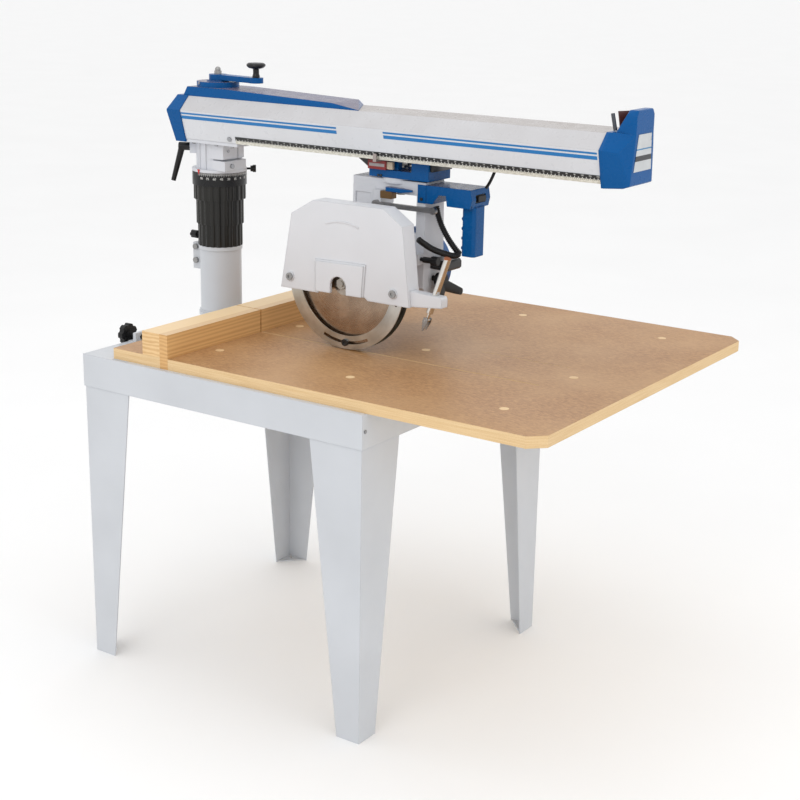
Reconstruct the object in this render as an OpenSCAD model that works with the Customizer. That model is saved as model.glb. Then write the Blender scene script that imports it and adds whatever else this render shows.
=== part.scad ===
// Radial arm saw: pressed-steel stand, wooden table and fence, telescopic
// column, hexagonal arm, roller carriage, swivelling yoke and direct-drive motor.
// Millimetres. +Z up, floor at z = 0, operator side is -Y, operator's right is +X.
// Origin: centre of the four feet on the floor. Blade plane is x = blade_x.

/* [Stand] */
// Height of the table's working face above the floor
table_h = 840; // [820:1:860]
// Width of the steel frame across X
frame_w = 827; // [820:1:834]
// Depth of the steel frame along Y
frame_d = 864; // [860:1:868]
// Height of the frame's apron
apron_h = 83; // [70:1:90]
// Flange width of a leg at the floor
leg_foot_w = 66; // [60:1:72]
// Flange width of a leg under the apron
leg_top_w = 147; // [120:1:160]

/* [Table] */
// Thickness of the table board
board_t = 27; // [25:0.5:29]
// Height of the fence above the table
fence_h = 59; // [50:1:62]
// Depth of the blade groove in the table
groove_d = 2; // [1:0.5:4]

/* [Arm] */
// Front end of the arm along Y
arm_front = -747; // [-760:1:-735]
// Rear end of the arm along Y
arm_rear = 500; // [498:1:502]
// Diameter of the round guide rails inside the arm
rail_d = 20; // [18:1:20]

/* [Saw head] */
// Diameter of the saw blade
blade_d = 330; // [320:1:330]
// Thickness of the saw blade
blade_t = 3.2; // [2.6:0.1:3.6]
// Number of teeth
teeth = 54; // [40:1:60]

/* [Fits] */
// Radial running clearance on shafts and pins
run = 0.05; // [0.02:0.01:0.08]

/* [Hidden] */
$fn = 64;

// main planes and axes
frame_top = table_h - board_t;
half_w = frame_w / 2;
half_d = frame_d / 2;
column_x = 139;                  // also the centre line of arm, carriage and yoke
column_y = 452;
blade_x = -46;
arbor_y = -113;
arbor_z = table_h + 166.5;
bevel_z = arbor_z;               // the yoke tilts the motor about this Y axis
swivel_y = -150;                 // the yoke turns about this Z axis
sleeve_top = table_h + 335;
head_z = table_h + 373;          // underside of the head casting
head_top = table_h + 452;
carriage_z = table_h + 414;      // underside of the carriage
yoke_top = table_h + 410;

// colours
light_grey = "gainsboro";
blue = [0.03, 0.36, 0.65];
black = [0.08, 0.08, 0.09];
steel = [0.72, 0.73, 0.74];
wood = [0.90, 0.76, 0.52];
board_brown = [0.69, 0.52, 0.38];

// ---- shared shapes ----
// cylinders along one axis, given by the other two coordinates and the two ends
module xcyl(r, y, z, x1, x2) { translate([x1, y, z]) rotate([0, 90, 0]) cylinder(r = r, h = x2 - x1); }
module ycyl(r, x, z, y1, y2) { translate([x, y2, z]) rotate([90, 0, 0]) cylinder(r = r, h = y2 - y1); }
module zcyl(r, x, y, z1, z2) { translate([x, y, z1]) cylinder(r = r, h = z2 - z1); }
// cylinders on the main axes
module column_cyl(r, z1, z2) { zcyl(r, column_x, column_y, z1, z2); }
module swivel_cyl(r, z1, z2) { zcyl(r, column_x, swivel_y, z1, z2); }
module bevel_cyl(r, y1, y2) { ycyl(r, column_x, bevel_z, y1, y2); }
module motor_cyl(r, x1, x2) { xcyl(r, arbor_y, arbor_z, x1, x2); }

module box(x1, x2, y1, y2, z1, z2) { translate([x1, y1, z1]) cube([x2 - x1, y2 - y1, z2 - z1]); }
// box centred on the arm's centre line
module mid_box(half, y1, y2, z1, z2) { box(column_x - half, column_x + half, y1, y2, z1, z2); }

// profile drawn in (x, z), run along Y from y1 to y2
module along_y(y1, y2) { translate([0, y2, 0]) rotate([90, 0, 0]) linear_extrude(y2 - y1) children(); }
// profile drawn in (y, z), run along X from x1 to x2
module along_x(x1, x2) { translate([x1, 0, 0]) rotate([90, 0, 90]) linear_extrude(x2 - x1) children(); }
module mid_along_x(half) { along_x(column_x - half, column_x + half) children(); }

// frames turned about the column axis and the motor axis
module at_column(angle) { translate([column_x, column_y, 0]) rotate([0, 0, angle]) children(); }
module at_motor(angle) { translate([0, arbor_y, arbor_z]) rotate([angle, 0, 0]) children(); }

// knob outline with round notches centred at notch_at from its middle
module notched_disc(r, count, notch_at, notch_r) {
  difference() {
    circle(r = r);
    for (i = [0:count - 1]) rotate(i * 360 / count) translate([notch_at, 0]) circle(r = notch_r);
  }
}

// ---- stand ----
sheet = 3;                       // thickness of the pressed steel
lip = 4;                         // thickness of the frame's top ledge
leg_profile = [[0, 0], [leg_foot_w, 0], [leg_top_w, frame_top - apron_h - 2],
    [leg_top_w, frame_top - lip], [0, frame_top - lip]];
base_bolt_xs = [column_x - 50, column_x + 50];
base_bolt_y = 400;
rear_bolt_xs = [column_x - 30, column_x + 30];
rear_bolt_zs = [frame_top - 60, frame_top - 28];
bolt_r = 6;

// corner at (0, 0), flanges run along +X and +Y
module one_leg() {
  difference() {
    union() {
      rotate([90, 0, 0]) translate([0, 0, -sheet]) linear_extrude(sheet) polygon(leg_profile);
      rotate([90, 0, 90]) linear_extrude(sheet) polygon(leg_profile);
      linear_extrude(4) polygon([[0, 0], [leg_foot_w, 0], [0, leg_foot_w]]);
    }
    translate([21, 21, -1]) cylinder(r = 5.5, h = 8);
  }
}
module legs() {
  color(light_grey)
    for (flip_x = [0, 1], flip_y = [0, 1])
      mirror([flip_x, 0, 0]) mirror([0, flip_y, 0])
        translate([-(half_w - sheet), -(half_d - sheet), 0]) one_leg();
}

// shanks of, or holes for, the column base's bolts
module base_bolt_shanks(z1, z2) {
  for (x = base_bolt_xs) zcyl(bolt_r, x, base_bolt_y, z1, z2);
}
module rear_bolt_shanks(y1, y2) {
  for (x = rear_bolt_xs, z = rear_bolt_zs) ycyl(bolt_r, x, z, y1, y2);
}

module apron() {
  inner_w = half_w - sheet;
  inner_d = half_d - sheet;
  open_w = half_w - 60;
  open_d = half_d - 60;
  bottom = frame_top - apron_h;
  color(light_grey) difference() {
    box(-half_w, half_w, -half_d, half_d, bottom, frame_top);
    box(-inner_w, inner_w, -inner_d, inner_d, bottom - 1, frame_top - lip);
    box(-open_w, open_w, -open_d, open_d, frame_top - 5, frame_top + 1);
    base_bolt_shanks(frame_top - 6, frame_top + 1);
    rear_bolt_shanks(half_d - 8, half_d + 2);
    // slot in the left ledge
    box(-half_w + 4, -half_w + 9, 285, 335, frame_top - 3, frame_top + 1);
  }
}
// two box-section rails from front to back
module cross_rails() {
  color(light_grey) for (x = [-150, 150]) difference() {
    box(x - 20, x + 20, -half_d + 3, half_d - 3, frame_top - 60, frame_top - 4);
    box(x - 17, x + 17, -half_d + 2, half_d - 2, frame_top - 57, frame_top - 7);
  }
}
module steel_frame() {
  apron();
  cross_rails();
}

// ---- table and fence ----
board_left = -400;
board_right = 678;
board_front = -872;
board_chamfer = 34;              // front corners
fence_front = 158;
fence_back = 183.5;
fence_top = table_h + fence_h;
slot_half = 2.2;                 // half width of the blade's groove and slots

module blade_slot(y1, y2, z1, z2) { box(blade_x - slot_half, blade_x + slot_half, y1, y2, z1, z2); }
module plug_grid(top) {
  for (x = [-256, 64, 546], y = [117, -283, -700]) zcyl(11, x, y, table_h - 12, top);
}
module table_board() {
  color(board_brown) difference() {
    translate([0, 0, frame_top]) linear_extrude(board_t) polygon([
      [board_left, fence_front], [board_left, board_front + board_chamfer],
      [board_left + board_chamfer, board_front], [board_right - board_chamfer, board_front],
      [board_right, board_front + board_chamfer], [board_right, fence_front]]);
    plug_grid(table_h + 1);
    blade_slot(-668, fence_front + 1, table_h - groove_d, table_h + 1);
    // short shallow groove right of the blade
    box(134, 136, -649, -402, table_h - 0.8, table_h + 1);
  }
}
module table_plugs() { color(wood) plug_grid(table_h + 0.3); }
module rear_board() {
  color(board_brown) box(board_left, board_right, fence_back, 338, frame_top, table_h);
}
module fence_strip() {
  color(wood) difference() {
    box(board_left, board_right, fence_front, fence_back, frame_top, fence_top);
    blade_slot(fence_front - 1, fence_back + 0.5, table_h - groove_d, fence_top + 1);
  }
}
// two strips standing on the rear board behind the fence
module fence_spacers() {
  color(wood) for (span = [[fence_back, 212], [212, 240]]) difference() {
    box(board_left, board_right, span[0], span[1], table_h, fence_top);
    blade_slot(span[0] - 1, span[0] + 30, table_h + 5, fence_top + 1);
  }
}

// clamp screw behind the rear board
clamp_x = -237;
clamp_z = frame_top + 14;
module fence_clamp_brackets() {
  color(light_grey) difference() {
    union() {
      box(clamp_x - 22, clamp_x + 22, 380, 425, frame_top, frame_top + 4);
      box(clamp_x - 22, clamp_x + 22, 398, 408, frame_top, frame_top + 27);
    }
    ycyl(6 + run, clamp_x, clamp_z, 397, 409);
    for (offset_x = [-14, 14]) zcyl(3.2, clamp_x + offset_x, 388, frame_top - 1, frame_top + 5);
  }
}
module fence_clamp_left() {
  color(black) union() {
    ycyl(6, clamp_x, clamp_z, 344, 436);
    ycyl(11, clamp_x, clamp_z, 339, 344);
    ycyl(12, clamp_x, clamp_z, 436, 441);
    translate([clamp_x, 441, clamp_z]) rotate([-90, 0, 0]) linear_extrude(15)
      notched_disc(28, 7, 31, 7);
  }
}

// ---- column ----
base_half = 62;                  // half width of the column base
sleeve_r = 57;
inner_r = 45;                    // inner column
inner_neck_r = 40;               // its stepped top
screw_r = 10;                    // lead screw
split_bolt_y = column_y + 66;    // bolts across the split at the back of the sleeve
split_bolt_zs = [table_h + 158, table_h + 120];
lock_x = column_x - 12;          // lock knob behind the sleeve
lock_z = table_h + 189;
lock_r = 4;

module column_base() {
  top = frame_top + 1;
  plate_top = frame_top + 10;
  gusset_y = half_d + 13;
  color(light_grey) difference() {
    union() {
      mid_box(base_half, 380, column_y, frame_top, plate_top);
      column_cyl(base_half, frame_top, plate_top);
      mid_box(base_half, half_d, half_d + 14, frame_top - 110, top);
      // outer gussets, then the middle one
      for (x = [column_x - base_half, column_x + base_half - 12]) along_x(x, x + 12)
        polygon([[gusset_y, top], [474, top], [474, frame_top - 15], [gusset_y, frame_top - 105]]);
      mid_along_x(6)
        polygon([[gusset_y, top], [510, top], [510, frame_top - 15], [gusset_y, frame_top - 105]]);
    }
    column_cyl(30, frame_top - 20, frame_top + 16);
    mid_box(31, column_y - 4, column_y + 31, frame_top - 60, frame_top - 0.01);
    base_bolt_shanks(frame_top - 1, frame_top + 16);
    rear_bolt_shanks(half_d - 1, half_d + 15);
  }
}
module apron_screw() { color(steel) ycyl(4.5, -403, frame_top - 41, -half_d - 2, -half_d); }
module sleeve_clamp_bolts() {
  color(steel) for (z = split_bolt_zs) {
    xcyl(5, split_bolt_y, z, column_x - 26, column_x + 26);
    xcyl(8, split_bolt_y, z, column_x - 33, column_x - 26);
    xcyl(9.2, split_bolt_y, z, column_x + 26, column_x + 33, $fn = 6);
  }
}
module column_bolts() {
  color(steel) {
    for (x = base_bolt_xs) {
      zcyl(bolt_r, x, base_bolt_y, frame_top - 4, frame_top + 10);
      // hexagon head, 18 across flats
      zcyl(18 / sqrt(3), x, base_bolt_y, frame_top + 10, frame_top + 16, $fn = 6);
      zcyl(9, x, base_bolt_y, frame_top - 12, frame_top - 4);
    }
    for (x = rear_bolt_xs, z = rear_bolt_zs) {
      ycyl(bolt_r, x, z, half_d - 3, half_d + 14);
      ycyl(10.4, x, z, half_d + 14, half_d + 20, $fn = 6);
    }
  }
}
module frame_bolts() {
  apron_screw();
  sleeve_clamp_bolts();
  column_bolts();
}
module column_sleeve() {
  color(light_grey) difference() {
    union() {
      column_cyl(sleeve_r, frame_top + 10, sleeve_top);
      column_cyl(60, frame_top + 10, frame_top + 15);
      column_cyl(60, table_h + 158, table_h + 169);
      mid_box(26, column_y + 40, column_y + 78, table_h + 96, table_h + 169);
    }
    column_cyl(inner_r + run, frame_top + 9, sleeve_top + 1);
    mid_box(2, column_y + 40, column_y + 80, table_h + 90, sleeve_top + 1);
    for (z = split_bolt_zs) xcyl(5, split_bolt_y, z, column_x - 30, column_x + 30);
  }
}
module sleeve_lock_knob() {
  color(black) {
    ycyl(lock_r, lock_x, lock_z, column_y + sleeve_r + 0.3, column_y + 72);
    translate([lock_x, column_y + 72, lock_z]) rotate([-90, 0, 0]) linear_extrude(20)
      notched_disc(11, 5, 12.5, 3.5);
  }
}
module elevating_nut() {
  color("goldenrod") difference() {
    union() {
      column_cyl(45, frame_top + 10, frame_top + 20);
      column_cyl(30, frame_top + 19, frame_top + 190);
    }
    column_cyl(14, frame_top + 9, frame_top + 160);
    column_cyl(screw_r + run, frame_top + 159, frame_top + 191);
  }
}

// fluted round outline, eight points to a flute
flutes = 22;
flute_depth = 2.4;
function fluted_outline(r) = [for (i = [0:8 * flutes - 1]) let (
    angle = i * 360 / (8 * flutes),
    step = i % 8,
    radius = (step == 0 || step == 4) ? r - flute_depth * 0.4 : (step > 4) ? r - flute_depth : r)
  [radius * cos(angle), radius * sin(angle)]];
module shroud(outer_r, bore_r, z1, z2) {
  translate([column_x, column_y, z1]) linear_extrude(z2 - z1) difference() {
    polygon(fluted_outline(outer_r));
    circle(r = bore_r, $fn = 180);
  }
}
module lower_shroud() {
  color(black) difference() {
    shroud(61, sleeve_r + 0.05, table_h + 169.05, table_h + 334);
    ycyl(lock_r + run, lock_x, lock_z, column_y + 40, column_y + 70);
  }
}
module middle_shroud() { color(black) shroud(64.8, 61.4, table_h + 229.5, table_h + 360); }
module upper_shroud() { color(black) shroud(71, 66, table_h + 297, table_h + 337); }
module inner_column() {
  color(steel) difference() {
    union() {
      column_cyl(inner_r, frame_top + 60, table_h + 365);
      column_cyl(inner_neck_r, table_h + 365, table_h + 444);
    }
    column_cyl(34, frame_top + 59, table_h + 355);
    column_cyl(12, table_h + 354, table_h + 445);
  }
}
module protractor_ring() {
  color(black) difference() {
    column_cyl(74, table_h + 337, head_z);
    column_cyl(66, table_h + 336, table_h + 365);
    column_cyl(inner_r, table_h + 336, table_h + 365);
    column_cyl(inner_neck_r, table_h + 364, head_z + 1);
  }
}

// ---- arm section ----
arm_bottom = table_h + 461;
arm_top = table_h + 573.5;
ridge_z = table_h + 538;         // widest level of the hexagon
// half widths of the hexagon
arm_top_half = 65;
arm_ridge_half = 100.5;
arm_bottom_half = 79;
cavity_half = 71;
cavity_rear = 323;               // rear end of the cavity open underneath

// the hexagon in (x, z), grown all round and let down at the bottom
module arm_hexagon(grow = 0, drop = 0) {
  top = arm_top_half + grow;
  ridge = arm_ridge_half + 1.4 * grow;
  bottom = arm_bottom_half + grow;
  bottom_z = arm_bottom - drop - grow;
  polygon([[column_x - top, arm_top + grow], [column_x + top, arm_top + grow],
    [column_x + ridge, ridge_z], [column_x + bottom, bottom_z],
    [column_x - bottom, bottom_z], [column_x - ridge, ridge_z]]);
}
// x of the left lower facet at height z
function facet_x(z) = column_x - arm_ridge_half
  + (ridge_z - z) * (arm_ridge_half - arm_bottom_half) / (ridge_z - arm_bottom);

// ---- head of the arm ----
lever_angle = 115;               // arm clamp lever, about the column
lever_z = head_z + 61;
index_angle = -49.3;             // mitre index pin, about the column
index_z = head_z + 4;

module head_casting() {
  color(light_grey) difference() {
    union() {
      column_cyl(74, head_z + run, head_z + 8);
      column_cyl(62, head_z + 7, head_top);
      box(column_x - 60, column_x + 25, column_y - 66, column_y, head_z + 38, head_top);
      box(column_x - 60, column_x + 26, column_y - 72, column_y, head_z + 7, head_z + 34);
      for (angle = [165, 185, 205, 225]) at_column(angle)
        box(60, 65.5, -2.5, 2.5, head_z + 7, head_top);
      mid_box(77, cavity_rear, 500, head_top, arm_bottom);
      at_column(lever_angle) box(50, 78, -16, 16, head_z + 45, head_z + 76);
    }
    column_cyl(inner_neck_r + run, head_z - 1, table_h + 446);
    column_cyl(12 + run, table_h + 440, arm_bottom + 1);
    // level split and upright slot in the clamp block
    mid_box(61, column_y - 80, column_y - 58, head_z + 33.9, head_z + 38.1);
    mid_box(1.5, column_y - 80, column_y - 55, head_z + 38, head_top - 12);
    at_column(lever_angle) xcyl(7 + run, 0, lever_z, 55, 80);
    // index pin bore
    at_column(index_angle) {
      xcyl(3 + run, 0, index_z, 58, 80);
      xcyl(12, 0, index_z, 76, 120);
    }
  }
}
module head_screws() {
  beam_screw_z = table_h + 472;
  color(steel) {
    ycyl(6.5, column_x - 33, head_z + 20, column_y - 76, column_y - 72);
    ycyl(4, column_x - 40, head_z + 60, column_y - 68.5, column_y - 66);
    for (y = [345, 400, 480], x = [column_x - 71, column_x + 71])
      zcyl(5, x, y, head_top - 4, head_top);
    // side screw that holds the beam
    translate([facet_x(beam_screw_z) - 0.01, 344, beam_screw_z]) rotate([0, -105.6, 0])
      cylinder(r = 6.5, h = 3);
    // the crank base's grub screw
    at_column(161) xcyl(3.5, 0, arm_top + 34, 57, 59);
  }
}
module mitre_pointer() {
  color("red") at_column(173) along_x(74.05, 76) translate([0, head_z - 5])
    polygon([[-4.5, 13], [4.5, 13], [0, 0]]);
}
module head_fittings() {
  head_screws();
  mitre_pointer();
}
module mitre_index_pin() {
  color(black) at_column(index_angle) {
    xcyl(3, 0, index_z, 62, 84);
    xcyl(8, 0, index_z, 84, 90);
    xcyl(10, 0, index_z, 90, 99);
  }
}
module arm_clamp_lever() {
  color(black) at_column(lever_angle) difference() {
    union() {
      xcyl(7, 0, lever_z, 56, 84);
      xcyl(11, 0, lever_z, 79, 112);
      translate([104, 0, lever_z]) rotate([180, -16, 0]) cylinder(r1 = 9, r2 = 6.5, h = 98);
    }
    xcyl(4, 0, lever_z, 108, 113);
  }
}

// ---- arm ----
module arm_cavity(bottom) {
  left = column_x - cavity_half;
  right = column_x + cavity_half;
  polygon([[left, bottom], [right, bottom], [right, arm_top - 12], [left, arm_top - 12]]);
}
module arm_beam() {
  color(light_grey) difference() {
    along_y(arm_front, arm_rear) arm_hexagon();
    along_y(arm_front - 1, cavity_rear) arm_cavity(arm_bottom - 1);
    along_y(cavity_rear + 1, arm_rear + 1) arm_cavity(arm_bottom + 8);
    column_cyl(14, arm_bottom - 1, arm_top + 1);
    // triangular hollows behind the ridges
    for (side = [-1, 1]) along_y(arm_front - 1, arm_rear + 1) polygon([
      [column_x + side * 89, ridge_z],
      [column_x + side * 76, ridge_z - 28],
      [column_x + side * 76, ridge_z + 16]]);
  }
}
// round rails on webs; the left web reaches the wall, the right one starts mid-rail
module guide_rails() {
  left = column_x - 57;
  right = column_x + 57;
  color(steel) for (x = [left, right]) along_y(arm_front + 2, cavity_rear - 1) union() {
    translate([x, table_h + 505]) circle(r = rail_d / 2);
    translate([x == left ? column_x - cavity_half : x, table_h + 501]) square([14, 8]);
  }
}

// strip of the given thickness on both sloping lower facets
module facet_strip(y1, y2, z1, z2, thickness) {
  for (flip = [0, 1]) translate([flip * 2 * column_x, 0, 0]) mirror([flip, 0, 0])
    along_y(y1, y2) polygon([
      [facet_x(z1) - 0.01, z1], [facet_x(z2) - 0.01, z2],
      [facet_x(z2) - thickness, z2], [facet_x(z1) - thickness, z1]]);
}
// a thin and a wide stripe, both broken between y = -158 and -16
module arm_stripes() {
  color(blue)
    for (span = [[-16, arm_rear - 1], [arm_front + 6, -158]], band = [[528, 532.5], [515.5, 524]])
      facet_strip(span[0], span[1], table_h + band[0], table_h + band[1], 0.4);
}
module scale_strips() {
  split_z = table_h + 470;
  color(black) facet_strip(arm_front, cavity_rear, split_z, table_h + 480, 1.2);
  color("silver") facet_strip(arm_front, cavity_rear, arm_bottom, split_z, 1.6);
}

module rear_cap() {
  color(blue) intersection() {
    along_y(arm_rear, arm_rear + 60) arm_hexagon(grow = 1.5, drop = 7);
    along_x(0, 300) polygon([
      [arm_rear, arm_bottom - 12], [arm_rear + 34, arm_bottom - 12],
      [arm_rear + 47, ridge_z - 5], [arm_rear + 37, arm_top + 4], [arm_rear, arm_top + 4]]);
  }
}

// rounded corners of the front cap: half spacing across X, y from arm_front, z
cap_corners = [
  [55.5, -55, arm_bottom - 1],
  [48, -55, arm_bottom + 30],
  [43.5, -58, arm_top - 4.5],
  [85.5, -40, ridge_z - 5],
  [60.5, -44, arm_bottom - 5]];
nose_corners = [
  [48, -55, arm_bottom + 30],
  [50, -19, arm_top + 0.5],
  [43.5, -58, arm_top - 4.5],
  [43, -58, arm_top + 38],
  [36, -58, arm_top + 48],
  [43, -41, arm_top + 42],
  [37, -42, arm_top + 48]];
module cap_balls(corners) {
  for (corner = corners, side = [-1, 1])
    translate([column_x + side * corner[0], arm_front + corner[1], corner[2]])
      sphere(r = 4, $fn = 12);
}
// the cap narrows toward a tall nose with an open back
module front_cap() {
  color(blue) difference() {
    union() {
      hull() {
        along_y(arm_front - 8, arm_front) arm_hexagon(grow = 2.5, drop = 7);
        cap_balls(cap_corners);
      }
      hull() cap_balls(nose_corners);
    }
    mid_box(35, arm_front - 53, arm_front + 10, arm_top + 4.5, arm_top + 44);
  }
}
// sloping plate on the cap's front face
module front_label_plate() {
  low = arm_bottom + 25;
  high = arm_top - 1.5;
  color([0.75, 0.78, 0.8]) intersection() {
    along_x(90, 200) polygon([[arm_front - 60.7, low], [arm_front - 59.8, low],
      [arm_front - 62.25, high], [arm_front - 63.15, high]]);
    along_y(arm_front - 90, arm_front - 50) polygon([[95, arm_bottom + 27],
      [183, arm_bottom + 27], [171, arm_top - 2], [107, arm_top - 2]]);
  }
}
module front_stop_plate() {
  color([0.35, 0.12, 0.1]) translate([110, arm_front - 6, arm_top + 46])
    rotate([0, 0, -27]) rotate([-14.5, 0, 0]) translate([0, -3, -40]) cube([52, 3, 40]);
}
module front_stop_pin() {
  color(steel) translate([96, arm_front - 9.2, arm_top + 4.2]) rotate([-13.1, 0, 0])
    difference() {
      cylinder(r = 4.5, h = 39);
      translate([0, 0, 34]) cylinder(r = 2, h = 6);
    }
}
module front_fittings() {
  front_label_plate();
  front_stop_plate();
  front_stop_pin();
}

// ---- top cover and crank ----
crank_z = arm_top + 41.05;       // underside of the crank's hub
crank_knob_y = 320;
screw_top = arm_top + 56;

// thin slice of the cover; its front edge may slant from right to left
module cover_slice(rise, half, rear, front_right, front_left) {
  left = column_x - half;
  right = column_x + half;
  translate([0, 0, arm_top + rise]) linear_extrude(1)
    polygon([[left, rear], [right, rear], [right, front_right], [left, front_left]]);
}
module crank_base() {
  z = arm_top + 24;
  color(blue) difference() {
    union() {
      column_cyl(57, z, z + 14);
      column_cyl(30, z + 13, z + 17);
    }
    column_cyl(screw_r + run, z - 1, z + 18);
  }
}
module top_cover() {
  crank_base();
  color(blue) difference() {
    hull() {
      cover_slice(0, 65, 518, 18, -61);
      cover_slice(23, 61, 508, 380, 380);
      cover_slice(12, 61, 400, 30, 25);
    }
    column_cyl(16, arm_top - 1, arm_top + 25);
    // clearance over the rear cap
    box(60, 220, arm_rear - 0.05, 560, arm_top - 1, arm_top + 1.6);
    mid_box(49, 60, 420, arm_top - 1, arm_top + 9);
  }
}
module crank_arm() {
  z = crank_z;
  color(blue) difference() {
    union() {
      column_cyl(24, z, z + 15);
      mid_along_x(16) polygon([[452, z + 1], [452, z + 15], [322, z + 13], [322, z - 1]]);
      zcyl(19, column_x, crank_knob_y, z - 1, z + 13);
    }
    column_cyl(10, z - 2, z + 16);
    zcyl(5, column_x, crank_knob_y, z - 2, z + 14);
    mid_box(20, 428, 440, z - 2, z - 0.5);
  }
}
module lead_screw() {
  color(steel) union() {
    column_cyl(screw_r, table_h - 18, screw_top);
    column_cyl(11.9, table_h + 400, arm_top + 10);
    column_cyl(5, screw_top, screw_top + 4);
  }
}
// domed hexagon nut
module crank_nut() {
  z = screw_top + 0.05;
  color(steel) difference() {
    union() {
      column_cyl(10, z, z + 9, $fn = 6);
      column_cyl(7.5, z + 9, z + 12);
      translate([column_x, column_y, z + 12]) sphere(r = 7.8);
    }
    column_cyl(5, z - 1, screw_top + 4);
  }
}
// knob outline: radius, height above its lower face
knob_profile = [[0, 0], [10, 0], [10, 4], [8, 10], [8, 21], [20, 25], [24.5, 29],
    [25.5, 32], [24.5, 35], [20, 38], [0, 39.5]];
module crank_knob() {
  z = arm_top + 54.6;
  color(black) {
    zcyl(4.95, column_x, crank_knob_y, z - 14.4, z + 2);
    translate([column_x, crank_knob_y, z]) rotate_extrude() polygon(knob_profile);
  }
}

// ---- carriage ----
roller_left = column_x - 33;
roller_right = column_x + 33;
roller_front = -235;
roller_rear = -120;
roller_pin_r = 5;
carriage_front = -262;
carriage_rear = -84;

module at_rollers() {
  for (x = [roller_left, roller_right], y = [roller_front, roller_rear])
    translate([x, y, carriage_z]) children();
}
module carriage_body() {
  z = carriage_z;
  color(blue) difference() {
    union() {
      mid_box(49, carriage_front, carriage_rear, z, z + 19);
      mid_box(49, carriage_front, -211, z + 18, z + 44);
      mid_box(39, -165, -95, z + 18, z + 40);
      at_rollers() zcyl(9, 0, 0, 30, 81);
      at_rollers() zcyl(roller_pin_r, 0, 0, 80, 102);
    }
    swivel_cyl(16, z - 1, z + 41);
    swivel_cyl(26, z + 24, z + 41);
  }
}
module carriage_fittings() {
  z = carriage_z;
  // wedges at the rear and front ends
  color(black) {
    mid_along_x(43) polygon([[carriage_rear, z + 19], [carriage_rear, z + 44],
      [-42, z + 44], [-77, z + 21]]);
    mid_along_x(43) polygon([[carriage_front, z + 44], [-284, z + 44],
      [-270, z + 24], [carriage_front, z + 24]]);
  }
  // blocks on the left side
  color("darkred") box(78, 90, -142, -88, z + 20, z + 42);
  color("tan") box(82, 90, -160, -142.5, z + 22, z + 40);
  // cranked strip reaching out to the left and up
  color([0.5, 0.45, 0.42]) union() {
    box(48, 78, -134, -124, z + 42.2, z + 44.5);
    box(48, 50, -134, -124, z + 42.2, z + 62);
    box(76, 86, -134, -124, z + 42, z + 44.5);
  }
  // collars above the rollers
  color(steel) at_rollers() difference() {
    zcyl(11, 0, 0, 99.2, 103);
    zcyl(roller_pin_r, 0, 0, 99, 102);
  }
  color(black) for (y = [-121, -113]) xcyl(3, y, z + 4, 87, 90);
}
module roller(x, y) {
  color(steel) difference() {
    zcyl(14 - run, x, y, carriage_z + 82, carriage_z + 98);
    zcyl(roller_pin_r + run, x, y, carriage_z + 81, carriage_z + 99);
  }
}
module roller_front_left() { roller(roller_left, roller_front); }
module roller_rear_left() { roller(roller_left, roller_rear); }
module roller_front_right() { roller(roller_right, roller_front); }
module roller_rear_right() { roller(roller_right, roller_rear); }

// ---- yoke ----
yoke_front = -250;
bevel_pin_x = 82;
bevel_pin_z = table_h + 223;
latch_x = 86;
latch_y = -148;
clamp_bar_y = -112;              // pivot of the swivel clamp bar
clamp_bar_z = table_h + 347;
trunnion_r = 20;

// outline of both legs in (x, z)
module leg_face() {
  polygon([[column_x - 41, yoke_top], [column_x + 41, yoke_top],
    [column_x + 46, bevel_z], [column_x + 46, bevel_z - 20],
    [column_x + 30, bevel_z - 44], [column_x - 30, bevel_z - 44],
    [column_x - 46, bevel_z - 20], [column_x - 46, bevel_z]]);
}
// a leg from its side profile in (y, z)
module yoke_leg(profile) {
  intersection() {
    along_x(0, 300) polygon(profile);
    along_y(-260, 100) leg_face();
  }
}
module yoke() {
  top = yoke_top;
  foot = bevel_z - 50;
  color(light_grey) difference() {
    union() {
      swivel_cyl(50, top - 10, top + 3.95);
      swivel_cyl(15.9, top, carriage_z + 24);
      mid_box(41, yoke_front, -30, top - 34, top);
      box(86.1, column_x - 30, -124, -100, top - 74, top - 28);
      box(66, 100, yoke_front, -224, table_h + 209, table_h + 237);
      yoke_leg([[yoke_front, top - 30], [yoke_front, foot], [-224, foot], [-224, top - 30]]);
      yoke_leg([[-30, top - 20], [-30, top - 75], [8, top - 135], [8, foot],
        [-18, foot], [-18, top - 150], [-97, top - 72], [-97, top - 20]]);
    }
    // recessed panel on the left face of the rear leg
    along_x(80, 99.5) polygon([[-38, top - 40], [-38, top - 79], [-2, top - 138],
      [-12, top - 140], [-84, top - 72], [-84, top - 40]]);
    ycyl(5 + run, bevel_pin_x, bevel_pin_z, -260, -215);
    xcyl(6 + run, clamp_bar_y, clamp_bar_z, 80, 120);
    bevel_cyl(trunnion_r + run, -251, -223);
    bevel_cyl(trunnion_r + run, -19, 9);
    swivel_cyl(8, top - 40, carriage_z + 26);
  }
}
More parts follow.
